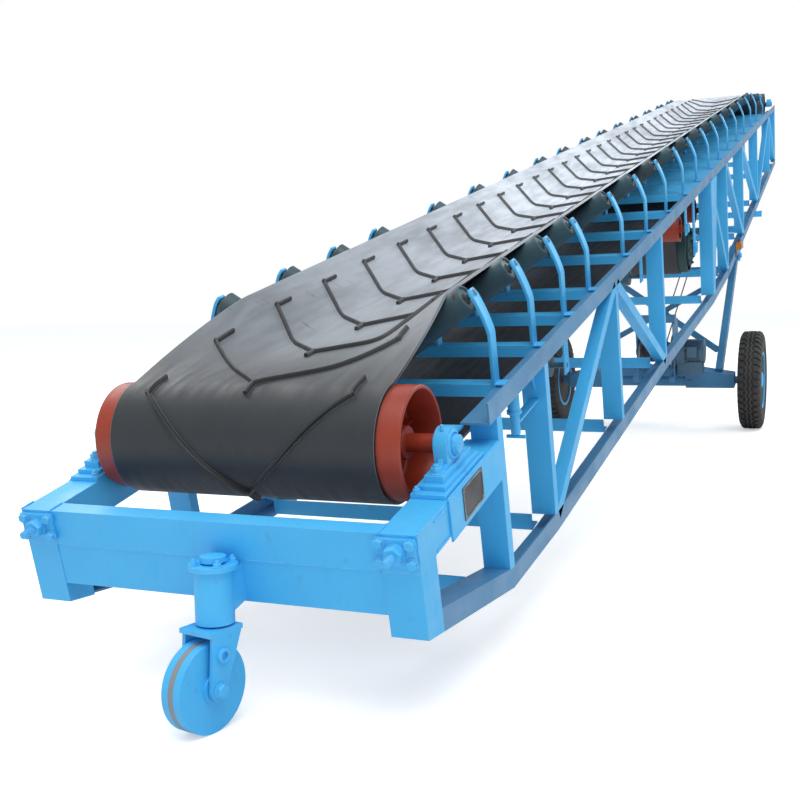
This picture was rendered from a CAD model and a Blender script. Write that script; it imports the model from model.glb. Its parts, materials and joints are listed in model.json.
"""Looks of the mobile belt conveyor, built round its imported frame."""

import json
import logging
import math
from bisect import bisect_right
from dataclasses import dataclass
from enum import Enum

import bmesh
import bpy
from mathutils import Matrix, Vector, noise

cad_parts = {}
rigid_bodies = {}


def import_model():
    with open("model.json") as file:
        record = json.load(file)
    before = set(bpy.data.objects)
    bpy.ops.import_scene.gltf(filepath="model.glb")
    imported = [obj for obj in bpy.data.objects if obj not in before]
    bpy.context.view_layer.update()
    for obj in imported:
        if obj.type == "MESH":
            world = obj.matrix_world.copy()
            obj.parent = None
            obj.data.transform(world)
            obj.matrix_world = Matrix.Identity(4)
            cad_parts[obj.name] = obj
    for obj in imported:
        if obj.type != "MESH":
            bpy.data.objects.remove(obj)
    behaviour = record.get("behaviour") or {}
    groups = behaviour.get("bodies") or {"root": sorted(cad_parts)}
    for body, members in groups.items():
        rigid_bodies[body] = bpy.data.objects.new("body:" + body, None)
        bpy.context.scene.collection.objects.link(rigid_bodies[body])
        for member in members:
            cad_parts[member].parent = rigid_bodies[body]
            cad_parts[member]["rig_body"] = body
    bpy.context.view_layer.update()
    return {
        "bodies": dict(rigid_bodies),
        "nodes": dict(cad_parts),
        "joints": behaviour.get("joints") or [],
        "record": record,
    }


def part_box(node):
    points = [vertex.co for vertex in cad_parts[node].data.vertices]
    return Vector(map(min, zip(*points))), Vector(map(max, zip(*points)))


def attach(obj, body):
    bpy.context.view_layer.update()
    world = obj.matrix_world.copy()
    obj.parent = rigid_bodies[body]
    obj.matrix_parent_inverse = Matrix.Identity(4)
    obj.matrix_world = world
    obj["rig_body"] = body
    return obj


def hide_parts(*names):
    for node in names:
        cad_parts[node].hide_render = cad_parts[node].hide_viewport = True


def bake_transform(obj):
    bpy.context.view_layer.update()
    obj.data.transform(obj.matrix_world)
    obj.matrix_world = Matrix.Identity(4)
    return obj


LOG = logging.getLogger("conveyor")
Pair = tuple[float, float]
Triple = tuple[float, float, float]
Colour = tuple[float, float, float, float]
Socket = bpy.types.NodeSocket
Material = bpy.types.Material
BOTH = (-1, 1)
UP = Vector((0, 0, 1))
ALONG = Vector((0, 1, 0))
ACROSS = Vector((1, 0, 0))


class Body(Enum):
    """Bodies of the frame that a piece can ride on."""

    FRAME = "frame"
    UNDERCARRIAGE = "undercarriage"
    LEFT_WHEEL = "left_wheel"
    RIGHT_WHEEL = "right_wheel"
    FORK = "caster_fork"
    CASTER = "caster_wheel"


class Slot(Enum):
    """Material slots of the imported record."""

    BLUE = "blue_paint"
    RED = "red_paint"
    GREEN = "green_paint"
    ROLLER = "roller_paint"
    BELT = "belt_rubber"
    TYRE = "tyre_rubber"
    STEEL = "grey_steel"
    DARK = "dark_plate"
    LAMP = "lamp_body"
    LENS = "amber_lens"
    MOTOR = "motor_paint"


class Graph:
    """A small builder of shader nodes."""

    def __init__(self, name: str) -> None:
        """Start an empty material.

        Args:
            name: the material's name.
        """
        self.material = bpy.data.materials.new(name)
        self.material.use_nodes = True
        self.tree = self.material.node_tree
        self.tree.nodes.clear()
        self.coords = self.add("ShaderNodeTexCoord").outputs["Object"]

    def add(self, kind: str, **values: object) -> bpy.types.Node:
        """Add a node.

        Args:
            kind: the node's type.
            values: its properties, or values and links for its inputs by name.

        Returns:
            The new node.
        """
        node = self.tree.nodes.new(kind)
        for key, value in values.items():
            if hasattr(node, key) and key not in node.inputs:
                setattr(node, key, value)
            else:
                self.feed(node.inputs[key.replace("_", " ")], value)
        return node

    def feed(self, socket: Socket, value: object) -> None:
        """Link or set an input.

        Args:
            socket: the input.
            value: an output to link, or a plain value.
        """
        if isinstance(value, Socket):
            self.tree.links.new(value, socket)
        else:
            socket.default_value = value

    def noise(self, scale: float, detail: float = 4, stretch: Triple = (1, 1, 1)) -> Socket:
        """Noise over the piece.

        Args:
            scale: how fine it is, per metre.
            detail: octaves.
            stretch: scale along each axis.

        Returns:
            The noise's value, 0 to 1.
        """
        mapping = self.add("ShaderNodeMapping", Vector=self.coords, Scale=stretch)
        grain = self.add("ShaderNodeTexNoise", Vector=mapping.outputs[0], Scale=scale, Detail=detail)
        return grain.outputs["Fac"]

    def ramp(self, value: Socket, low: float, high: float) -> Socket:
        """Make a smooth step.

        Args:
            value: what it is read from.
            low: the value at which it is 0.
            high: the value at which it is 1.

        Returns:
            The step, 0 to 1.
        """
        node = self.add("ShaderNodeMapRange", interpolation_type="SMOOTHSTEP", Value=value)
        node.inputs["From Min"].default_value, node.inputs["From Max"].default_value = low, high
        return node.outputs["Result"]

    def maths(self, operation: str, one: object, two: object = 0.0) -> Socket:
        """Make one step of arithmetic.

        Args:
            operation: the sum's kind.
            one: its first value.
            two: its second value.

        Returns:
            The result, kept between 0 and 1.
        """
        node = self.add("ShaderNodeMath", operation=operation, use_clamp=True)
        self.feed(node.inputs[0], one)
        self.feed(node.inputs[1], two)
        return node.outputs[0]

    def mix(self, factor: object, one: object, two: object) -> Socket:
        """Blend two colours.

        Args:
            factor: 0 for the first to 1 for the second.
            one: the first colour.
            two: the second colour.

        Returns:
            The blended colour.
        """
        node = self.add("ShaderNodeMix", data_type="RGBA")
        self.feed(node.inputs[0], factor)
        self.feed(node.inputs[6], one)
        self.feed(node.inputs[7], two)
        return node.outputs[2]

    def edges(self, radius: float) -> Socket:
        """Where the surface turns sharply.

        Args:
            radius: reach from the edge, in metres.

        Returns:
            0 on flats to 1 on edges.
        """
        bevel = self.add("ShaderNodeBevel", samples=4, Radius=radius)
        geometry = self.add("ShaderNodeNewGeometry")
        dot = self.add("ShaderNodeVectorMath", operation="DOT_PRODUCT")
        self.feed(dot.inputs[0], bevel.outputs[0])
        self.feed(dot.inputs[1], geometry.outputs["Normal"])
        return self.ramp(self.maths("SUBTRACT", 1.0, dot.outputs["Value"]), 0.02, 0.2)

    def finish(
        self, colour: object, roughness: object, bump: object, depth: float, **flat: float
    ) -> Material:
        """Close the graph with a shader.

        Args:
            colour: the base colour.
            roughness: the roughness.
            bump: the height of the bump.
            depth: the bump's depth in metres.
            flat: uniform values of the shader's own inputs.

        Returns:
            The material.
        """
        lift = self.add("ShaderNodeBump", Height=bump, Distance=depth, Strength=1.0)
        shader = self.add("ShaderNodeBsdfPrincipled", Roughness=roughness, Normal=lift.outputs[0])
        self.feed(shader.inputs["Base Color"], colour)
        for key, value in flat.items():
            shader.inputs[key.replace("_", " ")].default_value = value
        out = self.add("ShaderNodeOutputMaterial")
        self.tree.links.new(shader.outputs[0], out.inputs["Surface"])
        return self.material


@dataclass(frozen=True)
class Paint:
    """Brushed or sprayed enamel on steel, with dust, chips and rust."""

    name: str
    base: Colour
    shade: Colour
    worn: Colour
    rust: Colour = (0.09, 0.035, 0.012, 1)
    wear: float = 0.5
    dirt: float = 0.3
    rusting: float = 0.1
    gloss: float = 0.34

    def build(self) -> Material:
        """Build the paint.

        Returns:
            The material.
        """
        g = Graph(self.name)
        broad = g.ramp(g.noise(1.7, 5), 0.32, 0.68)
        patchy = g.ramp(g.noise(9, 6, (1, 0.5, 1)), 0.35, 0.7)
        runs = g.noise(45, 3, (1, 1, 0.12))
        fine = g.noise(260, 3)
        colour = g.mix(g.maths("MULTIPLY", broad, 0.55), self.base, self.shade)
        colour = g.mix(g.maths("MULTIPLY", g.ramp(runs, 0.5, 0.8), self.dirt), colour, self.shade)
        edge = g.edges(0.006)
        chipped = g.maths("MULTIPLY", edge, g.ramp(g.noise(38, 5), 0.42, 0.62))
        colour = g.mix(g.maths("MULTIPLY", chipped, self.wear), colour, self.worn)
        spots = g.maths("MULTIPLY", g.ramp(g.noise(24, 8), 0.64, 0.72), patchy)
        rusty = g.maths("ADD", spots, g.maths("MULTIPLY", chipped, 0.35))
        spots = g.maths("MULTIPLY", rusty, self.rusting * 4)
        colour = g.mix(spots, colour, self.rust)
        uneven = g.maths("MULTIPLY", patchy, 0.2)
        dulled = g.maths("ADD", self.gloss, g.maths("MULTIPLY", spots, 0.4))
        roughness = g.maths("ADD", uneven, dulled)
        height = g.maths("ADD", g.maths("MULTIPLY", runs, 0.5), g.maths("MULTIPLY", fine, 0.25))
        return g.finish(colour, roughness, height, 0.0012, Specular_IOR_Level=0.5)


@dataclass(frozen=True)
class BeltRubber:
    """Dusty black rubber, paler towards the head where dust lies."""

    name: str
    clean: Colour
    dusty: Colour
    dust: float
    tail: float
    head: float

    def build(self) -> Material:
        """Build the rubber.

        Returns:
            The material.
        """
        g = Graph(self.name)
        place = g.add("ShaderNodeSeparateXYZ", Vector=g.coords).outputs
        near = g.ramp(place["Y"], self.tail, self.tail + 0.6)
        far = g.ramp(place["Y"], self.tail, self.head)
        spread = g.maths("ADD", g.maths("MULTIPLY", near, 0.28), g.maths("MULTIPLY", far, 0.72))
        blots = g.ramp(g.noise(3.2, 7, (1.2, 0.5, 1)), 0.3, 0.72)
        streaks = g.ramp(g.noise(11, 5, (3.4, 0.35, 1)), 0.3, 0.75)
        grain = g.noise(420, 4)
        mottle = g.maths("ADD", g.maths("MULTIPLY", blots, 0.32), g.maths("MULTIPLY", streaks, 0.26))
        cover = g.maths("MULTIPLY", g.maths("ADD", mottle, 0.58), self.dust)
        cover = g.maths("MULTIPLY", cover, g.maths("ADD", g.maths("MULTIPLY", spread, 0.985), 0.015))
        colour = g.mix(cover, self.clean, self.dusty)
        scuffs = g.ramp(g.noise(17, 8, (0.6, 2.5, 1)), 0.66, 0.72)
        colour = g.mix(g.maths("MULTIPLY", scuffs, 0.35), colour, (0.02, 0.02, 0.022, 1))
        colour = g.mix(g.maths("MULTIPLY", g.edges(0.004), 0.25), colour, self.dusty)
        roughness = g.maths("ADD", g.maths("MULTIPLY", streaks, 0.18), 0.42)
        height = g.maths("ADD", g.maths("MULTIPLY", grain, 0.3), g.maths("MULTIPLY", blots, 0.5))
        return g.finish(colour, roughness, height, 0.0016, Specular_IOR_Level=0.5)


@dataclass(frozen=True)
class Tyre:
    """Road tyre rubber with grey dust in its hollows."""

    name: str
    base: Colour
    dust: Colour

    def build(self) -> Material:
        """Build the tyre rubber.

        Returns:
            The material.
        """
        g = Graph(self.name)
        blots = g.ramp(g.noise(7, 6), 0.35, 0.7)
        fine = g.noise(320, 4)
        colour = g.mix(g.maths("MULTIPLY", blots, 0.45), self.base, self.dust)
        colour = g.mix(g.maths("MULTIPLY", g.edges(0.005), 0.35), colour, self.dust)
        roughness = g.maths("ADD", g.maths("MULTIPLY", blots, 0.15), 0.62)
        return g.finish(colour, roughness, fine, 0.0009)


@dataclass(frozen=True)
class Steel:
    """Bare or plated steel with grease and light rust."""

    name: str
    base: Colour
    grime: Colour
    metal: float = 0.85
    gloss: float = 0.3

    def build(self) -> Material:
        """Build the steel.

        Returns:
            The material.
        """
        g = Graph(self.name)
        turned = g.noise(60, 5, (6, 1, 1))
        blots = g.ramp(g.noise(14, 6), 0.4, 0.66)
        colour = g.mix(g.maths("MULTIPLY", blots, 0.6), self.base, self.grime)
        colour = g.mix(g.maths("MULTIPLY", g.edges(0.003), 0.3), colour, (0.5, 0.5, 0.5, 1))
        roughness = g.maths("ADD", g.maths("MULTIPLY", blots, 0.3), self.gloss)
        return g.finish(colour, roughness, turned, 0.0005, Metallic=self.metal)


@dataclass(frozen=True)
class Lens:
    """Moulded amber plastic."""

    name: str
    base: Colour
    deep: Colour

    def build(self) -> Material:
        """Build the plastic.

        Returns:
            The material.
        """
        g = Graph(self.name)
        ribs = g.add("ShaderNodeTexWave", Vector=g.coords, Scale=110.0, Distortion=0.4).outputs["Fac"]
        cloud = g.ramp(g.noise(30, 4), 0.3, 0.7)
        colour = g.mix(cloud, self.base, self.deep)
        colour = g.mix(g.maths("MULTIPLY", g.edges(0.003), 0.4), colour, (0.7, 0.4, 0.15, 1))
        roughness = g.maths("ADD", g.maths("MULTIPLY", cloud, 0.15), 0.18)
        return g.finish(colour, roughness, ribs, 0.0012, Coat_Weight=0.5)


@dataclass(frozen=True)
class Floor:
    """Pale floor that shows white and keeps the shadow."""

    name: str
    tone: float
    lift: float

    def build(self) -> Material:
        """Build the floor's material.

        Returns:
            The material.
        """
        material = bpy.data.materials.new(self.name)
        material.use_nodes = True
        tree = material.node_tree
        tree.nodes.clear()
        diffuse = tree.nodes.new("ShaderNodeBsdfDiffuse")
        diffuse.inputs["Color"].default_value = (self.tone, self.tone, self.tone, 1)
        glow = tree.nodes.new("ShaderNodeEmission")
        glow.inputs["Strength"].default_value = self.lift
        rays = tree.nodes.new("ShaderNodeLightPath")
        dark = tree.nodes.new("ShaderNodeEmission")
        dark.inputs["Strength"].default_value = 0
        pick = tree.nodes.new("ShaderNodeMixShader")
        both = tree.nodes.new("ShaderNodeAddShader")
        out = tree.nodes.new("ShaderNodeOutputMaterial")
        tree.links.new(rays.outputs["Is Camera Ray"], pick.inputs[0])
        tree.links.new(dark.outputs[0], pick.inputs[1])
        tree.links.new(glow.outputs[0], pick.inputs[2])
        tree.links.new(diffuse.outputs[0], both.inputs[0])
        tree.links.new(pick.outputs[0], both.inputs[1])
        tree.links.new(both.outputs[0], out.inputs["Surface"])
        return material


FINISHES = {
    Slot.BLUE: Paint(
        "blue_enamel",
        base=(0.066, 0.50, 0.92, 1),
        shade=(0.048, 0.41, 0.80, 1),
        worn=(0.26, 0.60, 0.86, 1),
        dirt=0.25,
        rusting=0.05,
    ),
    Slot.RED: Paint(
        "red_enamel",
        base=(0.36, 0.040, 0.014, 1),
        shade=(0.24, 0.026, 0.011, 1),
        worn=(0.38, 0.12, 0.07, 1),
        rusting=0.12,
    ),
    Slot.GREEN: Paint("green_enamel", (0.022, 0.075, 0.078, 1), (0.012, 0.035, 0.04, 1), (0.12, 0.2, 0.2, 1)),
    Slot.ROLLER: Paint(
        "roller_enamel",
        base=(0.055, 0.12, 0.15, 1),
        shade=(0.04, 0.042, 0.04, 1),
        worn=(0.24, 0.32, 0.36, 1),
        rusting=0.3,
        gloss=0.4,
    ),
    Slot.BELT: BeltRubber("belt_face", (0.019, 0.022, 0.026, 1), (0.76, 0.83, 0.92, 1), 1.0, -5.4, -1.6),
    Slot.TYRE: Tyre("road_tyre", (0.018, 0.018, 0.017, 1), (0.085, 0.08, 0.072, 1)),
    Slot.STEEL: Steel("plated_steel", (0.34, 0.35, 0.36, 1), (0.08, 0.07, 0.06, 1)),
    Slot.DARK: Paint(
        "plate_enamel",
        base=(0.030, 0.030, 0.034, 1),
        shade=(0.018, 0.018, 0.02, 1),
        worn=(0.30, 0.28, 0.24, 1),
        rusting=0.02,
    ),
    Slot.LAMP: Paint(
        "lamp_shell",
        base=(0.10, 0.028, 0.02, 1),
        shade=(0.06, 0.018, 0.014, 1),
        worn=(0.2, 0.1, 0.06, 1),
        gloss=0.25,
    ),
    Slot.LENS: Lens("amber", (0.78, 0.30, 0.03, 1), (0.6, 0.17, 0.01, 1)),
    Slot.MOTOR: Paint(
        "motor_enamel",
        base=(0.075, 0.16, 0.24, 1),
        shade=(0.035, 0.08, 0.13, 1),
        worn=(0.2, 0.3, 0.36, 1),
        dirt=0.5,
    ),
}
UNDERSIDE = BeltRubber("belt_underside", (0.014, 0.015, 0.017, 1), (0.07, 0.07, 0.075, 1), 0.7, -5.4, 3.0)
CLEAT = BeltRubber("belt_cleat", (0.016, 0.017, 0.019, 1), (0.15, 0.155, 0.16, 1), 0.7, -5.4, 3.0)
CHORD = Paint(
    "chord_enamel",
    base=(0.085, 0.27, 0.49, 1),
    shade=(0.06, 0.20, 0.37, 1),
    worn=(0.2, 0.4, 0.55, 1),
    dirt=0.4,
    rusting=0.06,
)
UNDER = Paint(
    "undercarriage_enamel",
    base=(0.06, 0.26, 0.49, 1),
    shade=(0.04, 0.16, 0.31, 1),
    worn=(0.2, 0.4, 0.55, 1),
    dirt=0.5,
    rusting=0.08,
)
STRIPE = Paint("worn_tread", (0.26, 0.30, 0.32, 1), (0.16, 0.20, 0.24, 1), (0.4, 0.36, 0.28, 1), rusting=0.2)
ROPE = Steel("rope_steel", (0.10, 0.095, 0.09, 1), (0.03, 0.03, 0.028, 1), 0.6, 0.45)


class Palette:
    """Every material, built once."""

    def __init__(self) -> None:
        """Build the materials of all slots."""
        self.by_slot = {slot: finish.build() for slot, finish in FINISHES.items()}
        self.cleat = CLEAT.build()
        self.underside = UNDERSIDE.build()
        self.chord = CHORD.build()
        self.under = UNDER.build()
        self.stripe = STRIPE.build()
        self.rope = ROPE.build()


class BeltFrame:
    """The machine's own tilted frame: x across, y to the head, z square to both, in mm."""

    TILT = math.radians(13)
    HINGE = Vector((0, 7353, -821))

    def __init__(self, joints: list[dict]) -> None:
        """Find the frame from the leg hinge.

        Args:
            joints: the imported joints.
        """
        luff = next(joint for joint in joints if joint["name"] == "luff")
        turn = Matrix.Rotation(self.TILT, 4, "X") @ Matrix.Scale(0.001, 4)
        self.matrix = Matrix.Translation(Vector(luff["pos_m"]) - turn @ self.HINGE) @ turn
        self.inverse = self.matrix.inverted()


def aim(centre: Vector, along: Vector, side: Vector = ACROSS) -> Matrix:
    """A placing whose z runs along a direction.

    Args:
        centre: its origin.
        along: the direction of its z.
        side: the rough direction of its x.

    Returns:
        The matrix.
    """
    z = along.normalized()
    x = side - z * side.dot(z)
    if x.length < 1e-4:
        x = ALONG - z * ALONG.dot(z)
    x.normalize()
    y = z.cross(x)
    return Matrix.Translation(centre) @ Matrix((x, y, z)).transposed().to_4x4()


class Draft:
    """A mesh piece, drawn in the belt frame in mm."""

    def __init__(self, name: str) -> None:
        """Start an empty piece.

        Args:
            name: the piece's name.
        """
        self.name = name
        self.bm = bmesh.new()
        self.slot = 0

    def face(self, corners: list[bmesh.types.BMVert]) -> None:
        """Add a face in the current material slot."""
        if len(set(corners)) > 2:
            self.bm.faces.new(corners).material_index = self.slot

    def skin(self, rings: list[list[Vector]], caps: bool = True, closed: bool = False) -> None:
        """Join rings of points into a surface.

        Args:
            rings: the rings, of equal length.
            caps: whether the first and last ring are filled.
            closed: whether the last ring joins the first.
        """
        made = [[self.bm.verts.new(point) for point in ring] for ring in rings]
        pairs = list(zip(made, made[1:])) + ([(made[-1], made[0])] if closed else [])
        for one, two in pairs:
            for k in range(len(one)):
                self.face([one[k - 1], one[k], two[k], two[k - 1]])
        if caps and not closed:
            self.face(list(reversed(made[0])))
            self.face(made[-1])

    def box(self, x: Pair, y: Pair, z: Pair, place: Matrix = Matrix()) -> None:
        """Add a block between limits.

        Args:
            x: limits across.
            y: limits along.
            z: limits upwards.
            place: an extra placing.
        """
        corners = ((x[0], y[0]), (x[1], y[0]), (x[1], y[1]), (x[0], y[1]))
        self.skin([[place @ Vector((a, b, c)) for a, b in corners] for c in z])

    def lathe(self, profile: list[Pair], place: Matrix, segments: int = 28) -> None:
        """Turn a profile of (along, radius) points round the placing's z.

        Args:
            profile: the points, from one end to the other.
            place: the placing.
            segments: sides of the round.
        """
        turns = [2 * math.pi * k / segments for k in range(segments)]
        rings = [[place @ Vector((r * math.cos(t), r * math.sin(t), a)) for t in turns] for a, r in profile]
        self.skin(rings)

    def prism(self, outline: list[Pair], depth: float, place: Matrix) -> None:
        """Raise an outline.

        Args:
            outline: its corners.
            depth: its height along the placing's z.
            place: the placing.
        """
        self.skin([[place @ Vector((a, b, c)) for a, b in outline] for c in (0, depth)])

    def hexagon(self, across: float, high: float, place: Matrix, turn: float = 0) -> None:
        """Add a bolt head or nut with worn corners.

        Args:
            across: width over its flats.
            high: its height.
            place: the placing.
            turn: its angle.
        """
        reach = across / math.sqrt(3)
        ends = ((0, 1.0), (high * 0.78, 1.0), (high, 0.86))
        rings = []
        for a, share in ends:
            ring = [turn + math.pi * k / 3 for k in range(6)]
            size = share * reach
            rings.append([place @ Vector((size * math.cos(t), size * math.sin(t), a)) for t in ring])
        self.skin(rings)

    def bolt(self, place: Matrix, across: float = 24, high: float = 11, turn: float = 0.2) -> None:
        """Add a washer, a nut and a bolt's end.

        Args:
            place: the placing, on the surface.
            across: the nut's width over its flats.
            high: the nut's height.
            turn: its angle.
        """
        self.lathe([(0, across * 0.72), (2.2, across * 0.72), (2.8, across * 0.66)], place, 20)
        self.hexagon(across, high, place @ Matrix.Translation((0, 0, 2.5)), turn)
        self.lathe([(high, across * 0.31), (high + 7, across * 0.31), (high + 8.5, across * 0.25)], place, 14)

    def tube(self, points: list[Vector], radius: float, sides: int = 10, wobble: float = 0) -> None:
        """Sweep a round bar along points.

        Args:
            points: the line.
            radius: the bar's radius.
            sides: sides of the round.
            wobble: share by which the radius varies.
        """
        rings = []
        turns = [2 * math.pi * i / sides for i in range(sides)]
        for k, point in enumerate(points):
            way = points[min(k + 1, len(points) - 1)] - points[max(k - 1, 0)]
            place = aim(point, way)
            size = radius * (1 + wobble * noise.noise(point * 0.05))
            rings.append([place @ Vector((size * math.cos(t), size * math.sin(t), 0)) for t in turns])
        self.skin(rings)

    def done(self, belt: BeltFrame, materials: list[Material], bevel: float = 0) -> bpy.types.Object:
        """Turn the draft into an object in the row frame.

        Args:
            belt: the belt frame.
            materials: one material for each slot used.
            bevel: width of rounded edges in mm.

        Returns:
            The object.
        """
        bmesh.ops.remove_doubles(self.bm, verts=self.bm.verts, dist=0.001)
        bmesh.ops.recalc_face_normals(self.bm, faces=self.bm.faces)
        self.bm.transform(belt.matrix)
        mesh = bpy.data.meshes.new(self.name)
        self.bm.to_mesh(mesh)
        self.bm.free()
        for material in materials:
            mesh.materials.append(material)
        mesh.shade_smooth()
        mesh.set_sharp_from_angle(angle=math.radians(38))
        piece = bpy.data.objects.new(self.name, mesh)
        bpy.context.scene.collection.objects.link(piece)
        if bevel:
            rounding = piece.modifiers.new("rounding", "BEVEL")
            rounding.width = bevel / 1000
            rounding.segments = 2
            rounding.limit_method = "ANGLE"
            rounding.angle_limit = math.radians(50)
        return piece


class Workshop:
    """Shared tools for the sub-assemblies."""

    def __init__(self, frame: dict) -> None:
        """Read the frame.
        """
        self.frame = frame
        self.belt = BeltFrame(frame["joints"])
        self.palette = Palette()

    def place(
        self,
        draft: Draft,
        body: Body,
        slot: Slot,
        bevel: float = 0,
        replaces: tuple[str, ...] = (),
        extra: tuple[Material, ...] = (),
    ) -> bpy.types.Object:
        """Finish a draft and let it ride on its body.

        Args:
            draft: the drawn piece.
            body: the body that it moves with.
            slot: the record slot of its finish.
            bevel: width of rounded edges in mm.
            replaces: CAD nodes that it stands for.
            extra: further materials, for the draft's slots 1 and on.

        Returns:
            The object.
        """
        piece = draft.done(self.belt, [self.palette.by_slot[slot], *extra], bevel)
        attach(piece, body.value)
        for node in replaces:
            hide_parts(node)
        LOG.info("built %s, %d faces", piece.name, len(piece.data.polygons))
        return piece

    def joint(self, name: str) -> Vector:
        """A joint's place in the belt frame, in mm."""
        found = next(joint for joint in self.frame["joints"] if joint["name"] == name)
        return self.belt.inverse @ Vector(found["pos_m"])


@dataclass(frozen=True)
class Drum:
    """A pulley in side view, with the way the belt turns round it."""

    y: float
    z: float
    radius: float
    turn: int


@dataclass(frozen=True)
class BeltPath:
    """The belt's loop and its trough."""

    half: float = 395
    thick: float = 10
    fold: float = 150
    bend: float = 35
    angle: float = math.radians(34)
    low: float = 212
    first: float = 898
    last: float = 10136
    tail: Drum = Drum(350, 88, 150.3, 1)
    head: Drum = Drum(11457, 150, 125, 1)
    drive: Drum = Drum(5164, -331, 160.3, 1)
    bends: tuple[Drum, Drum] = (Drum(4810, -143, 80, -1), Drum(5518, -143, 80, -1))

    def reach(self, drum: Drum, rise: float) -> float:
        """Signed radius at which a layer of the belt goes round a drum."""
        return drum.radius + rise if drum.turn > 0 else -(drum.radius + 0.3 + self.thick - rise)

    def straight(self, one: Drum, two: Drum, rise: float) -> tuple[Vector, Vector]:
        """The straight between two drums.

        Args:
            one: the drum it leaves.
            two: the drum it reaches.
            rise: height above the belt's inner face.

        Returns:
            Its two ends, as (0, y, z).
        """
        a, b = self.reach(one, rise), self.reach(two, rise)
        run, climb = two.y - one.y, two.z - one.z
        lean = math.atan2(climb, run) - math.atan2(b - a, math.sqrt(run**2 + climb**2 - (b - a) ** 2))
        across = (-math.sin(lean), math.cos(lean))
        start = Vector((0, one.y - a * across[0], one.z - a * across[1]))
        return start, Vector((0, two.y - b * across[0], two.z - b * across[1]))

    def layer(self, rise: float) -> list[Vector]:
        """Follow the return run at one layer of the belt.

        Args:
            rise: height above the belt's inner face.

        Returns:
            Points from the tail drum's top to the head drum's top.
        """
        drums = [self.tail, self.bends[0], self.drive, self.bends[1], self.head]
        lines = [self.straight(a, b, rise) for a, b in zip(drums, drums[1:])]
        start = Vector((0, self.tail.y, self.tail.z + self.tail.radius + rise))
        stop = Vector((0, self.head.y, self.head.z + self.head.radius + rise))
        entries = [start] + [line[1] for line in lines]
        exits = [line[0] for line in lines] + [stop]
        points = []
        for drum, start, end in zip(drums, entries, exits):
            centre = Vector((0, drum.y, drum.z))
            one, two = start - centre, end - centre
            begin, stop = math.atan2(one.z, one.y), math.atan2(two.z, two.y)
            if drum.turn > 0 and stop < begin:
                stop += 2 * math.pi
            if drum.turn < 0 and stop > begin:
                stop -= 2 * math.pi
            steps = 28 if drum in (self.tail, self.head) else 14
            size = abs(self.reach(drum, rise))
            for k in range(steps + 1):
                t = begin + (stop - begin) * k / steps
                points.append(centre + Vector((0, size * math.cos(t), size * math.sin(t))))
            if drum is not self.head:
                following = lines[drums.index(drum)][1]
                points += [end.lerp(following, k / 30) for k in range(1, 30)]
        return points

    def rows(self) -> list[tuple[float, Vector, Vector, float]]:
        """Stops along the loop.

        Returns:
            Rows of (distance from the tail drum's top, inner point, outer point, trough share).
        """
        inner, outer = self.layer(0), self.layer(self.thick)
        back, distance = [], 0.0
        for k, (a, b) in enumerate(zip(inner, outer)):
            if k:
                distance -= (b - outer[k - 1]).length
            back.append((distance, a, b, 0.0))
        back.reverse()
        count = 250
        for k in range(1, count + 1):
            y = self.tail.y + (self.head.y - self.tail.y) * k / count
            z, share = self.carry(y)
            back.append((y - self.tail.y, Vector((0, y, z)), Vector((0, y, z + self.thick)), share))
        return back

    def carry(self, y: float) -> Pair:
        """Find how the carrying run lies at a place.

        Args:
            y: the place along the belt.

        Returns:
            The height of the fold and the share of the trough.
        """
        if y < self.first:
            share, flat = (y - self.tail.y) / (self.first - self.tail.y), self.tail.z + self.tail.radius
        elif y > self.last:
            share, flat = (self.head.y - y) / (self.head.y - self.last), self.head.z + self.head.radius
        else:
            return self.low, 1.0
        return flat + share * (self.low - flat), share


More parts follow.
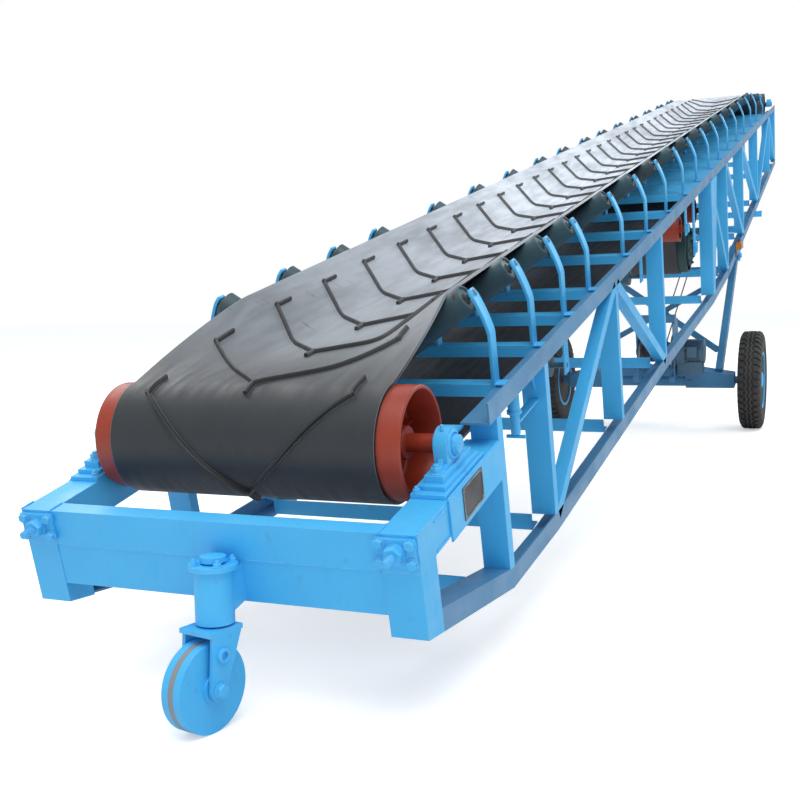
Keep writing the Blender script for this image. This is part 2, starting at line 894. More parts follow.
class Belt:
    """The rubber belt with its chevron cleats."""

    SPREAD = (0, 60, 115, 132, 150, 168, 185, 240, 300, 350, 395)
    PITCH = 350
    APEX = 683
    HEAD_FREE = 490
    DRIVE_FREE = 760

    def __init__(self, path: BeltPath) -> None:
        """Lay the belt along its path.

        Args:
            path: the loop.
        """
        self.path = path
        self.stops = path.rows()
        self.keys = [row[0] for row in self.stops]

    def point(self, s: float, u: float, rise: float) -> Vector:
        """A point of the belt.

        Args:
            s: distance along the loop from the tail drum's top.
            u: distance across from the middle.
            rise: height above the inner face.

        Returns:
            The point in the belt frame.
        """
        if s > self.keys[-1]:
            s -= self.keys[-1] - self.keys[0]
        k = min(max(bisect_right(self.keys, s), 1), len(self.keys) - 1)
        before, after = self.stops[k - 1], self.stops[k]
        share = (s - before[0]) / (after[0] - before[0])
        inner, outer = before[1].lerp(after[1], share), before[2].lerp(after[2], share)
        angle = self.path.angle * (before[3] + (after[3] - before[3]) * share)
        flat, soft = abs(u) - self.path.fold + self.path.bend, 2 * self.path.bend
        start = self.path.fold - self.path.bend
        if flat <= 0 or angle < 1e-4:
            across, lift, lean = abs(u), 0.0, 0.0
        else:
            turn, size = angle * min(flat / soft, 1), soft / angle
            across, lift, lean = start + size * math.sin(turn), size * (1 - math.cos(turn)), turn
            over = max(flat - soft, 0)
            across, lift = across + over * math.cos(turn), lift + over * math.sin(turn)
        across, lift = across - rise * math.sin(lean), lift + rise * math.cos(lean)
        normal = (outer - inner) / self.path.thick
        return Vector((math.copysign(across, u), 0, 0)) + inner + normal * lift

    def bar(self, draft: Draft, start: Pair, end: Pair, width: float) -> None:
        """Add one cleat bar along the belt's surface.

        Args:
            draft: the piece.
            start: (s, u) of its start.
            end: (s, u) of its end.
            width: its width at the foot.
        """
        run, over = end[0] - start[0], end[1] - start[1]
        size = math.hypot(run, over)
        steps = max(2, round(size / 24))
        side_s, side_u = -over / size * width / 2, run / size * width / 2
        section = ((1, self.path.thick - 1), (0.86, self.path.thick + 9), (0.45, self.path.thick + 12.5))
        section += tuple((-a, b) for a, b in reversed(section))
        rings = []
        for k in range(steps + 1):
            s, u = start[0] + run * k / steps, start[1] + over * k / steps
            rings.append([self.point(s + a * side_s, u + a * side_u, b) for a, b in section])
        draft.skin(rings)

    def chevron(self, draft: Draft, apex: float) -> None:
        """Add one V of cleats with its toes and stem.

        Args:
            draft: the piece.
            apex: the place of its apex along the loop.
        """
        for side in BOTH:
            self.bar(draft, (apex, side * 1.0), (apex + 305, side * 315), 11)
            self.bar(draft, (apex + 293, side * 307), (apex + 390, side * 307), 13)
        self.bar(draft, (apex - 50, 0.01), (apex + 12, 0.01), 14)

    def build(self, shop: Workshop) -> None:
        """Build the belt.

        Args:
            shop: the shared tools.
        """
        draft = Draft("rubber_belt")
        across = [-u for u in reversed(self.SPREAD[1:])] + list(self.SPREAD)
        rings = []
        for s in self.keys[:-1]:
            lower = [self.point(s, u, 0) for u in across]
            upper = [self.point(s, u, self.path.thick) for u in reversed(across)]
            rings.append(lower + upper)
        draft.skin(rings, closed=True)
        bmesh.ops.recalc_face_normals(draft.bm, faces=draft.bm.faces)
        for face in draft.bm.faces:
            face.material_index = 0 if self.shows(face) else 2
        draft.slot = 1
        first = self.APEX - 2 * self.PITCH - self.path.tail.y
        loop = self.keys[-1] - self.keys[0]
        for i in range(int(loop / self.PITCH)):
            apex = first + self.PITCH * i
            place = self.point(apex + 150, 0, 0)
            over_head = 0 < self.keys[-1] + 100 - apex < self.HEAD_FREE
            by_drive = place.z < 0 and abs(place.y - self.path.drive.y) < self.DRIVE_FREE
            if not over_head and not by_drive:
                self.chevron(draft, apex)
        extra = (shop.palette.cleat, shop.palette.underside)
        shop.place(draft, Body.FRAME, Slot.BELT, replaces=("belt",), extra=extra)

    def shows(self, face: bmesh.types.BMFace) -> bool:
        """Tell whether a face is on the belt's dusty outer side.

        Args:
            face: a face of the belt.

        Returns:
            True on the outer side of the carrying run and of the wraps round the end drums.
        """
        middle = face.calc_center_median()
        if middle.y < self.path.tail.y or middle.y > self.path.head.y:
            drum = self.path.tail if middle.y < self.path.tail.y else self.path.head
            return math.hypot(middle.y - drum.y, middle.z - drum.z) > drum.radius + self.path.thick / 2
        return middle.z > self.path.low - 20 and face.normal.z > 0


@dataclass(frozen=True)
class Stations:
    """Troughing idler stations: slat, three rollers, hooks and uprights."""

    path: BeltPath
    radius: float = 44.5
    length: float = 268
    pin: float = 10
    gap: float = 25
    inner: float = 484
    seat: float = 563
    top: float = 79
    width: float = 50
    thick: float = 8
    places: tuple[float, ...] = (
        898, 1325, 1742, 2150, 2861, 3478, 4116, 4778, 5384, 6056, 6661, 7323, 8052, 8747, 9476, 10136, 11020,
    )

    def wing(self, y: float) -> tuple[Vector, float]:
        """Find the right wing roller of a station.

        Args:
            y: the station.

        Returns:
            The middle of its inner end, and its lean.
        """
        low, share = self.path.carry(y)
        lean = self.path.angle * share
        drop = self.radius + 0.3
        x = self.path.fold + self.gap * math.cos(lean) + drop * math.sin(lean)
        return Vector((x, y, low + self.gap * math.sin(lean) - drop * math.cos(lean))), lean

    def roller(self, draft: Draft, place: Matrix, before: float, after: float) -> None:
        """Add a roller with dished end caps and its pin.

        Args:
            draft: the piece.
            place: the placing of its first end.
            before: how far the pin stands out there.
            after: how far it stands out at the other end.
        """
        n, r, p = self.length, self.radius, self.pin
        pin_in = [(-before, p * 0.85), (1.5 - before, p)]
        pin_out = [(n + after - 1.5, p), (n + after, p * 0.85)]
        cap_in = [(-1, p), (-1, 17), (5, 18), (6, 36), (0, 38.5), (0, r - 1.5), (1.5, r)]
        cap_out = [(n - 1.5, r), (n, r - 1.5), (n, 38.5), (n - 6, 36), (n - 5, 18), (n + 1, 17), (n + 1, p)]
        draft.lathe(pin_in + cap_in + cap_out + pin_out, place, 32)

    def hook(self, draft: Draft, y: float, side: int) -> None:
        """Add a bent flat bar that holds a wing roller's outer end.

        Args:
            draft: the piece.
            y: the station.
            side: -1 left, 1 right.
        """
        start, lean = self.wing(y)
        tip = (start.x + self.length * math.cos(lean), start.z + self.length * math.sin(lean))
        knee, elbow = (self.inner - 4, tip[1] - 108), (self.inner - 27, tip[1] - 37)
        end = (tip[0] + 9, tip[1] + 26)
        line = [(self.inner - 4, self.top - 34), (self.inner - 4, self.top + 30), knee]
        for k in range(1, 13):
            t = k / 12
            spot = []
            for a, b, c in zip(knee, elbow, end):
                spot.append((1 - t) ** 2 * a + 2 * t * (1 - t) * (2 * b - (a + c) / 2) + t * t * c)
            line.append((spot[0], spot[1]))
        rings = []
        for k, (x, z) in enumerate(line):
            one, two = line[max(k - 1, 0)], line[min(k + 1, len(line) - 1)]
            way = Vector((two[0] - one[0], 0, two[1] - one[1])).normalized()
            out = Vector((way.z, 0, -way.x)) * self.thick / 2
            broad = self.width / 2 * (1 if k < len(line) - 2 else (0.9 if k == len(line) - 2 else 0.62))
            lip = 5 if 2 < k < len(line) - 2 else 3
            rim = 1 + lip * 0.12
            section = [(-1, -broad), (-1, broad), (0, broad + 1), (rim, broad)]
            section += [(1, broad - 8), (1, 8 - broad), (rim, -broad), (0, -broad - 1)]
            rings.append([Vector((side * (x + out.x * a), y + b, z + out.z * a)) for a, b in section])
        draft.skin(rings)

    def build(self, shop: Workshop) -> None:
        """Build all stations.

        Args:
            shop: the shared tools.
        """
        rollers, hooks, slats = Draft("troughing_rollers"), Draft("roller_hooks"), Draft("cross_slats")
        for y in self.places:
            low = self.path.carry(y)[0] - self.radius - 0.3
            self.roller(rollers, aim(Vector((-self.length / 2, y, low)), ACROSS, UP), 6, 6)
            start, lean = self.wing(y)
            for side in BOTH:
                along = Vector((side * math.cos(lean), 0, math.sin(lean)))
                place = aim(Vector((side * start.x, y, start.z)), along, ALONG)
                self.roller(rollers, place, 14, 30)
                self.hook(hooks, y, side)
                end = place @ Vector((0, 0, self.length + 22))
                hooks.lathe([(0, 17), (3, 17), (3.4, 16)], aim(end - along * 6, along, ALONG), 20)
                hooks.hexagon(22, 9, aim(end - along * 3, along, ALONG))
                upright = self.length / 2 + 6
                across = (side * upright, side * (upright + 6))
                hooks.box(across, (y - 20, y + 20), (self.top - 0.5, low + 14))
            near, far = y - self.width / 2, y + self.width / 2
            slats.box((-self.seat, self.seat), (near, far), (self.top - 5, self.top))
            for side in BOTH:
                slats.box((side * self.inner, side * self.seat), (near + 5, far - 5), (69.2, self.top - 5))
            for a in (near, far - 5):
                slats.box((-self.inner, self.inner), (a, a + 5), (self.top - 40, self.top - 5.01))
        shop.place(rollers, Body.FRAME, Slot.ROLLER, replaces=("idler_rollers",))
        shop.place(hooks, Body.FRAME, Slot.BLUE, replaces=("idler_brackets",))
        shop.place(slats, Body.FRAME, Slot.BLUE, 1.2, ("slats",))
        plates = Draft("deck_plates")
        covered = self.places[7:]
        for a, b in zip(covered, covered[1:]):
            plates.box((-self.seat, self.seat), (a + 50, b - 50), (69.2, 74))
            for side in BOTH:
                for k in range(3):
                    place = aim(Vector((side * 530, a + 80 + (b - a - 160) * k / 2, 74)), UP)
                    plates.lathe([(0, 9), (3, 8), (5.5, 4)], place, 12)
        shop.place(plates, Body.FRAME, Slot.BLUE, 0.8, ("cover_plates",))


@dataclass(frozen=True)
class TailEnd:
    """Tail drum, its bearings on slides, and the guards outside the rails."""

    drum: Drum
    face: float = 457
    shaft: float = 25
    seat: tuple[float, float] = (497, 547)
    housing: float = 46

    def build(self, shop: Workshop) -> None:
        """Build the tail end.

        Args:
            shop: the shared tools.
        """
        self.build_drum(shop)
        self.build_bearings(shop)
        self.build_slides(shop)

    def build_drum(self, shop: Workshop) -> None:
        """Build the drum with its dished, ribbed ends.

        Args:
            shop: the shared tools.
        """
        f, r, pin = self.face, self.drum.radius - 0.3, self.shaft
        right = [(f - 6, r), (f - 2, r - 1), (f, r - 4), (f, r - 10), (f - 3, r - 12)]
        right += [(f - 92, r - 13), (f - 96, r - 17), (f - 96, 50), (f - 92, 46), (f - 40, 44)]
        right += [(f - 37, 42), (f - 37, pin), (520, pin), (521, pin - 2)]
        left = [(-a, b) for a, b in reversed(right)]
        draft = Draft("red_tail_drum")
        middle = Vector((0, self.drum.y, self.drum.z))
        draft.lathe(left + right, aim(middle, ACROSS, UP), 72)
        for side in BOTH:
            for k in range(4):
                turn = math.pi * (k / 2 + 0.03)
                place = Matrix.Translation(middle) @ Matrix.Rotation(turn, 4, "X")
                draft.box((side * (f - 95), side * (f - 78)), (-3, 3), (44, r - 12.5), place)
        shop.place(draft, Body.FRAME, Slot.RED, replaces=("tail_drum",))

    def build_bearings(self, shop: Workshop) -> None:
        """Build the two pillow blocks.

        Args:
            shop: the shared tools.
        """
        draft = Draft("pillow_blocks")
        y, z, r = self.drum.y, self.drum.z, self.housing
        middle = sum(self.seat) / 2
        for side in BOTH:
            arch = [(-r - 12, 24 - z + 18), (-r - 1, 34 - z + 18)]
            turns = [math.pi - math.pi * k / 18 for k in range(19)]
            arch += [(r * math.cos(t), r * math.sin(t)) for t in turns]
            arch += [(r + 1, 34 - z + 18), (r + 12, 24 - z + 18)]
            place = aim(Vector((side * middle, y, z)), ACROSS * side, ALONG)
            if place.to_3x3() @ Vector((0, 1, 0)) @ UP < 0:
                place = place @ Matrix.Scale(-1, 4, (0, 1, 0))
            draft.prism(arch, 36, place @ Matrix.Translation((0, 0, -18)))
            seat = [(-24, 30), (-24, 36), (-18, 39), (18, 39), (22, 37), (24, 34), (24, 31), (20, 30)]
            collar = [(19, 28), (25, 26.5), (31, 26), (31, 24.9), (38, 24.6), (40, 22), (40, 4), (38, 3)]
            draft.lathe(seat + collar, place, 40)
            for t in (0.4, 2.5):
                turned = place @ Matrix.Rotation(t, 4, "Z") @ Matrix.Translation((25.5, 0, 27))
                draft.lathe([(0, 3), (2.5, 3), (3, 2.4)], turned @ Matrix.Rotation(math.pi / 2, 4, "Y"), 10)
            nipple = aim(Vector((side * middle, y - 18, z + r - 5)), UP)
            draft.lathe([(0, 5), (6, 5), (6, 3.4), (12, 3.4), (13, 4.4), (15, 4.4), (17, 2)], nipple, 12)
            draft.box((side * self.seat[0], side * self.seat[1]), (y - 105, y + 105), (24, 42))
            for way in BOTH:
                foot = [(y + way * (r + a), b) for a, b in ((34, 42), (-4, 42), (-4, 74), (6, 56))]
                flat = aim(Vector((side * middle - 7, 0, 0)), ACROSS, ALONG)
                draft.prism(foot, 14, flat)
                draft.bolt(aim(Vector((side * middle, y + way * 80, 42)), UP), 27, 14, 0.3 * way)
        shop.place(draft, Body.FRAME, Slot.BLUE, 1.4, ("tail_bearings",))

    def build_slides(self, shop: Workshop) -> None:
        """Build the slide plates and the guards outside the rails.

        Args:
            shop: the shared tools.
        """
        slides, guards = Draft("bearing_slides"), Draft("rail_guards")
        y = self.drum.y
        for side in BOTH:
            slides.box((side * 474, side * 566), (y - 150, y + 150), (0.3, 12))
            slides.box((side * 482, side * 558), (y - 125, y + 125), (12, 24))
            for way in BOTH:
                slides.bolt(aim(Vector((side * 488, y + way * 138, 12)), UP), 17, 8)
            guards.box((side * 570, side * 576), (200, 618), (-110, 0))
            guards.tube([Vector((side * 571, 203 + 20 * k, 1)) for k in range(21)], 2.6, 8, 0.5)
        shop.place(slides, Body.FRAME, Slot.BLUE, 1.2, ("slide_plates",))
        shop.place(guards, Body.FRAME, Slot.BLUE, 1.0, ("side_plates",))


@dataclass(frozen=True)
class TailFrame:
    """Small parts of the tail frame: tensioners, weld seams, plate rim."""

    tensioner: float = 516
    plate: float = -10
    level: float = -43

    def build(self, shop: Workshop) -> None:
        """Build the small parts.

        Args:
            shop: the shared tools.
        """
        bolts, welds, rim = Draft("tensioner_bolts"), Draft("weld_seams"), Draft("plate_rim")
        front = -ALONG
        for side in BOTH:
            for dx in (-39, 39):
                for dz in (-24, 24):
                    spot = Vector((side * self.tensioner + dx, self.plate, self.level + dz))
                    bolts.lathe([(0, 16), (2, 16), (2.5, 15)], aim(spot, front), 20)
                    bolts.hexagon(23, 12, aim(spot, front), 0.2 * dx)
            nut = Vector((side * self.tensioner, self.plate, self.level))
            bolts.lathe([(0, 26), (4, 26), (5, 24)], aim(nut, front), 28)
            bolts.hexagon(44, 24, aim(nut, front), 0.3)
            thread = [(22, 9.4)]
            for k in range(12):
                thread += [(24 + 3 * k, 10.2), (25.5 + 3 * k, 8.8)]
            bolts.lathe(thread + [(60, 9.0), (60.4, 7.5)], aim(nut, front), 18)
            for x in (474, 570):
                corner = [Vector((side * x, 1 + 2.4 * k, 1.2)) for k in range(21)]
                welds.tube(corner, 2.4, 8, 0.6)
            for lift in (0, -76):
                welds.tube([Vector((side * 571, 104 + 12 * k, lift - 14)) for k in range(8)], 2.2, 8, 0.7)
        runs = ((-470, -330), (-318, -196), (-180, -40), (110, 220), (236, 352), (368, 470))
        for start, end in runs:
            count = round((end - start) / 8)
            line = [Vector((start + (end - start) * k / count, 1.6, -97)) for k in range(count + 1)]
            welds.tube(line, 2.6, 8, 0.7)
        ends = Draft("beam_end_plates")
        for side in BOTH:
            ends.box((side * 564, side * 570), (5, 53), (-89, -7))
        shop.place(ends, Body.FRAME, Slot.BLUE)
        for y in (292.5, 437.5):
            rim.box((577.3, 579), (y - 2, y + 2), (-94, -9))
        for z in (-92.5, -10.5):
            rim.box((577.3, 579), (291, 439), (z - 2, z + 2))
        for y in (299, 431):
            for z in (-86, -17):
                rim.lathe([(0, 4), (1.6, 3.4), (2.4, 1.6)], aim(Vector((577.4, y, z)), ACROSS), 14)
        shop.place(bolts, Body.FRAME, Slot.BLUE)
        shop.place(welds, Body.FRAME, Slot.BLUE)
        shop.place(rim, Body.FRAME, Slot.STEEL, 0.3)
        self.build_jack(shop)

    def build_jack(self, shop: Workshop) -> None:
        """Build the tube that hangs under the right top chord by the second post.

        Args:
            shop: the shared tools.
        """
        jack = Draft("chord_tube")
        spot = Vector((528, 905, 62))
        tube = [(0, 24), (6, 24), (6, 19), (72, 19), (74, 23), (84, 23), (86, 15), (148, 15), (150, 12)]
        jack.lathe(tube, aim(spot, -UP), 28)
        jack.box((512, 544), (905, 1118), (-52, -46))
        jack.tube([Vector((528 - 30 + 6 * k, 905, -96)) for k in range(11)], 6, 12)
        jack.prism([(1070, 62), (1120, 62), (1120, -20)], 6, aim(Vector((530, 0, 0)), ACROSS, ALONG))
        shop.place(jack, Body.FRAME, Slot.BLUE, 0.8)


@dataclass(frozen=True)
class RoadWheel:
    """A road tyre with a lugged tread, and the nuts of its wheel."""

    side: int
    body: Body
    node: str
    track: float = 761
    radius: float = 370
    half: float = 84
    rim: float = 206
    y: float = 6042
    z: float = -1522
    lugs: int = 44

    def build(self, shop: Workshop) -> None:
        """Build the tyre and the wheel nuts.

        Args:
            shop: the shared tools.
        """
        place = aim(Vector((self.side * self.track, self.y, self.z)), ACROSS * self.side, UP)
        draft = Draft(self.node + "_treaded")
        r, h = self.radius, self.half
        half = [(0, r - 14), (50, r - 16), (64, r - 22), (h - 9, r - 40), (h - 4, r - 58), (h - 1, r - 78)]
        half += [(h, r - 98), (h - 1, r - 112), (h, r - 115), (h - 3, r - 119), (h - 8, r - 134)]
        half += [(h - 14, r - 148), (67, self.rim + 8), (66, self.rim + 0.5)]
        profile = [(-a, b) for a, b in reversed(half[1:])] + half
        draft.lathe(profile, place, 96)
        for k in range(self.lugs):
            for way in BOTH:
                turn = 2 * math.pi * (k + (0.25 if way > 0 else 0.75)) / self.lugs
                self.lug(draft, place, turn, way)
        for across in (-22, 22):
            self.rib(draft, place, across)
        shop.place(draft, self.body, Slot.TYRE, replaces=(self.node,))
        nuts = Draft(self.node.replace("tyre", "wheel_nuts"))
        disc = place @ Matrix.Translation((0, 0, 25))
        for k in range(6):
            spot = disc @ Matrix.Rotation(math.pi * k / 3, 4, "Z") @ Matrix.Translation((118, 0, 0))
            nuts.bolt(spot, 27, 14, 0.1 * k)
        nuts.lathe([(30, 71), (33, 71), (36, 66), (60, 62), (72, 54), (76, 40), (77, 12)], place, 36)
        shop.place(nuts, self.body, Slot.BLUE)

    def lug(self, draft: Draft, place: Matrix, turn: float, way: int) -> None:
        """Add one shoulder lug.

        Args:
            draft: the tyre.
            place: the wheel's placing.
            turn: the lug's angle.
            way: the shoulder's side.
        """
        r, wide = self.radius, 0.052
        rows = ((36, 15.5, 1), (56, 18, 3), (68, 26, 12), (79, 44, 34), (81, 62, 56))
        rings = []
        for n, (a, foot, crest) in enumerate(rows):
            low, high = r - foot, r - crest
            lean = 0.012 * n * way
            spread = wide * (1 if n < 3 else 0.8)
            ring = []
            for t, size in ((-spread, low), (spread, low), (spread * 0.86, high), (-spread * 0.86, high)):
                at = turn + t + lean
                ring.append(place @ Vector((size * math.cos(at), size * math.sin(at), way * a)))
            rings.append(ring)
        draft.skin(rings)

    def rib(self, draft: Draft, place: Matrix, across: float) -> None:
        """Add one zigzag rib round the tyre.

        Args:
            draft: the tyre.
            place: the wheel's placing.
            across: its middle.
        """
        steps, rings, r = 176, [], self.radius
        for k in range(steps):
            turn = 2 * math.pi * k / steps
            shift = across * 0.62 + 4 * (1 if (k // 2) % 2 else -1)
            ring = []
            for a, size in ((-9, r - 15), (9, r - 15), (8, r - 0.5), (-8, r - 0.5)):
                ring.append(place @ Vector((size * math.cos(turn), size * math.sin(turn), a + shift)))
            rings.append(ring)
        draft.skin(rings, closed=True)


@dataclass(frozen=True)
class CasterTrim:
    """Bolts, axle nuts, fork eye and worn tread of the swivelling tail wheel."""

    radius: float = 110
    lid: float = 47
    leg: float = 52.5

    def build(self, shop: Workshop) -> None:
        """Build the trim.

        Args:
            shop: the shared tools.
        """
        swivel = shop.joint("caster_swivel")
        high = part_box("caster_socket")[1]
        up = (shop.belt.inverse.to_3x3() @ UP).normalized()
        foot = shop.belt.matrix @ swivel
        socket = Draft("socket_bolts")
        lid = shop.belt.inverse @ Vector((foot.x, foot.y, high.z))
        for k in range(4):
            turn = math.pi * (k / 2 + 0.25)
            place = aim(lid, up) @ Matrix.Rotation(turn, 4, "Z") @ Matrix.Translation((self.lid, 0, 0))
            socket.bolt(place, 17, 8, 0.4 * k)
        shop.place(socket, Body.FRAME, Slot.BLUE)
        axle = shop.joint("caster_wheel_spin")
        joints = shop.frame["joints"]
        found = next(joint for joint in joints if joint["name"] == "caster_wheel_spin")
        way = (shop.belt.inverse.to_3x3() @ Vector(found["axis"])).normalized()
        nuts = Draft("axle_nuts")
        for side in BOTH:
            nuts.lathe([(self.leg, 20), (55, 20), (55.6, 19)], aim(axle, way * side), 24)
            nuts.hexagon(30, 13, aim(axle + way * side * 55, way * side), 0.5)
        shop.place(nuts, Body.FORK, Slot.BLUE)
        eye = Draft("fork_eye")
        tilt = (up - way * up.dot(way)).normalized()
        seat = aim(axle + tilt * 82 + way.cross(tilt) * -12, way)
        eye.lathe([(50.5, 18), (60, 18), (62, 16), (62, 11), (54, 11)], seat, 32)
        shop.place(eye, Body.FORK, Slot.BLUE)
        tread = Draft("tread_band")
        inner, outer = self.radius - 3, self.radius + 0.1
        tread.lathe([(-9, inner), (-9, outer), (9, outer), (9, inner)], aim(axle, way), 96)
        piece = shop.place(tread, Body.CASTER, Slot.BLUE)
        piece.data.materials[0] = shop.palette.stripe


@dataclass(frozen=True)
class Hoist:
    """Winch details and the ropes to the sheaves."""

    y: float = 5830
    z: float = -1235
    left: float = -30
    right: float = 240

    def build(self, shop: Workshop) -> None:
        """Build the winch's details and the ropes.

        Args:
            shop: the shared tools.
        """
        middle = Vector((0, self.y, self.z))
        wraps = Draft("rope_on_drum")
        helix = []
        for k in range(19 * 24):
            turn = 2 * math.pi * k / 24
            along = self.left + 28 + 9.6 * k / 24
            helix.append(middle + Vector((along, 74 * math.cos(turn), 74 * math.sin(turn))))
        wraps.tube(helix, 4.6, 6)
        piece = shop.place(wraps, Body.UNDERCARRIAGE, Slot.STEEL)
        piece.data.materials[0] = shop.palette.rope
        motor = Draft("motor_fins")
        for k in range(9):
            start = self.right + 78 + 11 * k
            place = aim(middle + ACROSS * start, ACROSS, UP)
            motor.lathe([(0, 84), (0, 93), (4, 93), (4, 84)], place, 36)
        cover = aim(middle + ACROSS * (self.right + 178), ACROSS, UP)
        motor.lathe([(0, 84), (0, 90), (25, 90), (27.5, 84), (27.5, 30), (26.5, 20)], cover, 36)
        across = (self.right + 90, self.right + 160)
        motor.box(across, (self.y - 100, self.y - 80), (self.z - 20, self.z + 60))
        for k in range(6):
            flange = aim(middle + ACROSS * (self.right + 69), ACROSS, UP)
            turn = flange @ Matrix.Rotation(math.pi * k / 3, 4, "Z")
            motor.bolt(turn @ Matrix.Translation((95, 0, 0)), 15, 8)
        shop.place(motor, Body.UNDERCARRIAGE, Slot.MOTOR, 0.8)
        self.build_ropes(shop)

    def build_ropes(self, shop: Workshop) -> None:
        """Build the taut ropes from the winch drum to the sheaves.

        Args:
            shop: the shared tools.
        """
        low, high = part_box("rope_sheaves")
        sheave = shop.belt.inverse @ ((low + high) / 2)
        for name, x in (("hoist_rope_left", 107), ("hoist_rope_right", 167)):
            start = Vector((x, self.y + 20, self.z + 72))
            end = Vector((x, sheave.y - 14, sheave.z - 44))
            draft = Draft(name)
            draft.tube([start.lerp(end, k / 40) for k in range(41)], 5, 8)
            piece = draft.done(shop.belt, [shop.palette.rope])
            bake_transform(piece)
            LOG.info("built %s", name)


@dataclass(frozen=True)
class Chords:
    """Angle bars along the truss, each with its upright leg outside, and the slanted web bars."""

    half: float = 570
    width: float = 86
    wall: float = 6
    low: float = 63
    high: float = 125
    start: float = 559
    end: float = 11615
    knees: tuple[Pair, ...] = (
        (0, -267), (638, -463), (1140, -513), (2257, -572), (3397, -630), (5404, -770),
        (6384, -790), (7638, -735), (9120, -672), (10716, -600), (11585, -559), (11615, -557.6),
    )
    braces: tuple[tuple[int, int], ...] = ((2, 3), (4, 3), (6, 5), (7, 6), (8, 7), (8, 9), (10, 9))

    def level(self, y: float) -> float:
        """Find the height of the bottom chord's lower edge.

        Args:
            y: the place along the belt.

        Returns:
            The height in the belt frame.
        """
        for one, two in zip(self.knees, self.knees[1:]):
            if y <= two[0]:
                return one[1] + (two[1] - one[1]) * (y - one[0]) / (two[0] - one[0])
        return self.knees[-1][1]

    def build(self, shop: Workshop) -> None:
        """Build the chords and the slanted bars.

        Args:
            shop: the shared tools.
        """
        self.build_top(shop)
        self.build_bottom(shop)
        self.build_braces(shop)

    def build_bottom(self, shop: Workshop) -> None:
        """Build the bottom chords, closed above between the foot and the first post.

        Args:
            shop: the shared tools.
        """
        draft = Draft("lower_chord_angles")
        stops = [96, 618] + [knee[0] for knee in self.knees[1:]]
        inside = self.half - self.wall
        legs = ((inside, self.half, 0, 62), (self.half - 80, inside, 0, self.wall))
        for side in BOTH:
            for one, two in zip(stops, stops[1:]):
                lid = ((self.half - 80, inside, 56, 62),) if two <= 638 else ()
                for x0, x1, low, high in legs + lid:
                    rings = []
                    for y in (one, two):
                        z = self.level(y)
                        section = ((x0, low), (x1, low), (x1, high), (x0, high))
                        rings.append([Vector((side * a, y, z + b)) for a, b in section])
                    draft.skin(rings)
        piece = shop.place(draft, Body.FRAME, Slot.BLUE, 0, ("bottom_chords",))
        piece.data.materials[0] = shop.palette.chord

    def build_braces(self, shop: Workshop) -> None:
        """Build the slanted angle bars between a post's foot and the next post's head.

        Args:
            shop: the shared tools.
        """
        draft = Draft("web_angles")
        for foot, head in self.braces:
            way = 1 if self.knees[head][0] > self.knees[foot][0] else -1
            low = Vector((0, self.knees[foot][0] + way * 24, self.knees[foot][1] + 50))
            high = Vector((0, self.knees[head][0] - way * 20, self.low + 4))
            run = high - low
            for side in BOTH:
                place = aim(low + ACROSS * side * self.half, run, ACROSS * -side)
                for x, y in (((0, 6), (-24, 24)), ((6, 46), (18, 24))):
                    draft.box(x, y, (0, run.length), place)
        shop.place(draft, Body.FRAME, Slot.BLUE, 0.8, ("diagonals",))

    def build_top(self, shop: Workshop) -> None:
        """Build the top chords.

        Args:
            shop: the shared tools.
        """
        draft = Draft("chord_angles")
        run, inside = (self.start, self.end), self.half - self.wall
        for side in BOTH:
            draft.box((side * inside, side * self.half), run, (self.low, self.high))
            draft.box((side * (self.half - self.width), side * inside), run, (self.low, self.low + self.wall))
        piece = shop.place(draft, Body.FRAME, Slot.BLUE, 1.2, ("top_chords",))
        piece.data.materials[0] = shop.palette.chord


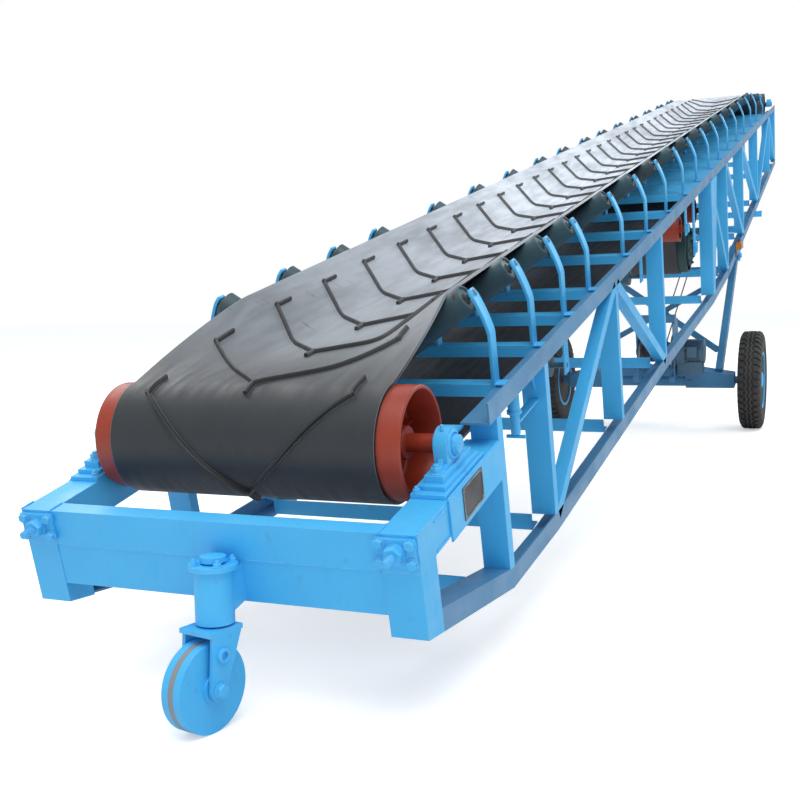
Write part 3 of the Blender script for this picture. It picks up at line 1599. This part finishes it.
@dataclass(frozen=True)
class TrussTrim:
    """Drive drum bolts, lamp guard, axle saddles, drive straps and a reflector."""

    drive: Drum
    bends: tuple[Drum, Drum]
    face: float = 462
    strap: Pair = (482, 490)
    axle: Pair = (6042, -1402)
    lamp: Triple = (616, 6954, -657)

    def build(self, shop: Workshop) -> None:
        """Build the trim.

        Args:
            shop: the shared tools.
        """
        drive, y, z = Draft("drive_end_bolts"), self.drive.y, self.drive.z
        for side in BOTH:
            for k in range(8):
                turn = math.pi * k / 4
                spot = Vector((side * self.face, y + 98 * math.cos(turn), z + 98 * math.sin(turn)))
                drive.bolt(aim(spot, ACROSS * side), 18, 9, turn)
            hub = aim(Vector((side * self.face, y, z)), ACROSS * side)
            drive.lathe([(0, 60), (8, 58), (16, 48), (16, 31)], hub, 40)
        shop.place(drive, Body.FRAME, Slot.GREEN)
        lamp = Draft("lamp_guard")
        x, y, z = self.lamp
        for dz in (-22, 0, 22):
            turns = [math.pi * k / 12 for k in range(13)]
            arc = [Vector((x + 9 * math.sin(t), y - 46 + 92 * k / 12, z + dz)) for k, t in enumerate(turns)]
            lamp.tube(arc, 2.2, 8)
        lamp.tube([Vector((624.5, 6954, -683 + 5.2 * k)) for k in range(11)], 2.2, 8)
        shop.place(lamp, Body.FRAME, Slot.STEEL)
        axle, (y, top) = Draft("axle_saddles"), self.axle
        for side in BOTH:
            for x in (150, 250):
                axle.box((side * x, side * (x + 14)), (y - 66, y + 66), (top - 12, top))
                for way in BOTH:
                    axle.bolt(aim(Vector((side * (x + 7), y + way * 48, top)), UP), 20, 10)
            for way in BOTH:
                axle.hexagon(26, 12, aim(Vector((side * 300, y + way * 55, -1520)), ALONG * way), 0.2)
        piece = shop.place(axle, Body.UNDERCARRIAGE, Slot.BLUE, 0.8)
        piece.data.materials[0] = shop.palette.under
        self.build_hangers(shop)

    def build_hangers(self, shop: Workshop) -> None:
        """Build the straps that carry the drive drum and the bend pulleys, and the reflector.

        Args:
            shop: the shared tools.
        """
        draft = Draft("drive_straps")
        inner, outer = self.strap
        straps = [(self.drive, 38, 30)] + [(bend, 30, 20) for bend in self.bends]
        for side in BOTH:
            for drum, half, shaft in straps:
                y, z = drum.y, drum.z
                draft.box((side * inner, side * outer), (y - half, y + half), (z - half - 12, 66))
                ring = [(0, shaft + 0.2), (0, half - 2), (14, half - 4), (16, half - 8), (16, shaft + 0.2)]
                draft.lathe(ring, aim(Vector((side * outer, y, z)), ACROSS * side), 36)
            for way in BOTH:
                spot = Vector((side * outer, self.drive.y + 30 * way, 30))
                draft.bolt(aim(spot, ACROSS * side), 20, 10)
            draft.box((side * inner, side * outer), tuple(bend.y for bend in self.bends), (20, 62))
        shop.place(draft, Body.FRAME, Slot.BLUE, 0.8, ("drive_brackets",))
        lens = Draft("side_reflector")
        outline = [(574, -688), (612, -688), (614, -686), (614, -629), (612, -627), (574, -627)]
        lens.prism(outline, 7, aim(Vector((0, 6908, 0)), -ALONG, ACROSS))
        shop.place(lens, Body.FRAME, Slot.LENS, 1.5)


class Stage:
    """Floor, light and camera."""

    PLACE = Vector((1464.50326486, -1978.00026882, 990.06026496))
    TURN = (84.77849900253564, 1.4628912850689564, 23.19415088907384)
    FOCUS = 1056.156 / 800 * 36

    def build(self, shop: Workshop) -> None:
        """Build the stage.

        Args:
            shop: the shared tools.
        """
        scene = bpy.context.scene
        scene.view_settings.view_transform = "Standard"
        mesh = bpy.data.meshes.new("floor")
        mesh.from_pydata([(-60, -60, 0), (60, -60, 0), (60, 60, 0), (-60, 60, 0)], [], [(0, 1, 2, 3)])
        mesh.materials.append(Floor("pale_floor", 0.86, 0.47).build())
        floor = bpy.data.objects.new("floor", mesh)
        scene.collection.objects.link(floor)
        self.build_world(scene)
        self.lamp("key", (3.0, -9.0, 12.0), (0, -2.0, 1.0), 9, 900)
        self.lamp("fill", (-9.0, 1.0, 10.0), (0, 0, 1.5), 10, 700)
        self.lamp("rim", (7.0, 10.0, 9.0), (0, 3.0, 2.0), 8, 500)
        data = bpy.data.cameras.new("camera")
        data.lens, data.sensor_width = self.FOCUS, 36
        data.clip_end = 200
        camera = bpy.data.objects.new("camera", data)
        scene.collection.objects.link(camera)
        camera.rotation_euler = [math.radians(a) for a in self.TURN]
        camera.location = shop.belt.matrix @ self.PLACE
        scene.camera = camera

    def build_world(self, scene: bpy.types.Scene) -> None:
        """Build a plain sky that shows white.

        Args:
            scene: the scene.
        """
        world = bpy.data.worlds.new("studio")
        scene.world = world
        world.use_nodes = True
        tree = world.node_tree
        tree.nodes.clear()
        light, white = tree.nodes.new("ShaderNodeBackground"), tree.nodes.new("ShaderNodeBackground")
        light.inputs[0].default_value = (0.93, 0.97, 1.0, 1)
        light.inputs[1].default_value = 0.62
        white.inputs[0].default_value = (1, 1, 1, 1)
        white.inputs[1].default_value = 1.0
        kinds = ("ShaderNodeLightPath", "ShaderNodeMath", "ShaderNodeMixShader")
        rays, either, pick = (tree.nodes.new(kind) for kind in kinds)
        either.operation = "MAXIMUM"
        out = tree.nodes.new("ShaderNodeOutputWorld")
        tree.links.new(rays.outputs["Is Camera Ray"], either.inputs[0])
        tree.links.new(rays.outputs["Is Transmission Ray"], either.inputs[1])
        tree.links.new(either.outputs[0], pick.inputs[0])
        tree.links.new(light.outputs[0], pick.inputs[1])
        tree.links.new(white.outputs[0], pick.inputs[2])
        tree.links.new(pick.outputs[0], out.inputs[0])

    def lamp(self, name: str, place: Triple, target: Triple, size: float, power: float) -> None:
        """Add a large soft lamp.

        Args:
            name: its name.
            place: where it hangs.
            target: what it points at.
            size: its side in metres.
            power: its power in watts.
        """
        data = bpy.data.lights.new(name, "AREA")
        data.size, data.energy = size, power
        lamp = bpy.data.objects.new(name, data)
        bpy.context.scene.collection.objects.link(lamp)
        lamp.location = place
        lamp.rotation_euler = (Vector(target) - Vector(place)).to_track_quat("-Z", "Y").to_euler()


def dress_nodes(shop: Workshop) -> None:
    """Give every carried-over CAD node its finish.

    Args:
        shop: the shared tools.
    """
    for part in shop.frame["record"]["subparts"]:
        node = shop.frame["nodes"][part["node"]]
        node.data.materials.clear()
        slot = Slot(part["material_slot"])
        low_blue = slot is Slot.BLUE and node["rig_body"] == Body.UNDERCARRIAGE.value
        node.data.materials.append(shop.palette.under if low_blue else shop.palette.by_slot[slot])
    LOG.info("dressed %d nodes", len(shop.frame["nodes"]))


def main() -> None:
    """Build the looks round the frame, in order."""
    logging.basicConfig(level=logging.INFO, format="%(message)s")
    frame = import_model()
    shop = Workshop(frame)
    Stage().build(shop)
    dress_nodes(shop)
    path = BeltPath()
    Belt(path).build(shop)
    Stations(path).build(shop)
    Chords().build(shop)
    TailEnd(path.tail).build(shop)
    TailFrame().build(shop)
    RoadWheel(-1, Body.LEFT_WHEEL, "left_tyre").build(shop)
    RoadWheel(1, Body.RIGHT_WHEEL, "right_tyre").build(shop)
    CasterTrim().build(shop)
    Hoist().build(shop)
    TrussTrim(path.drive, path.bends).build(shop)


if __name__ == "__main__":
    main()
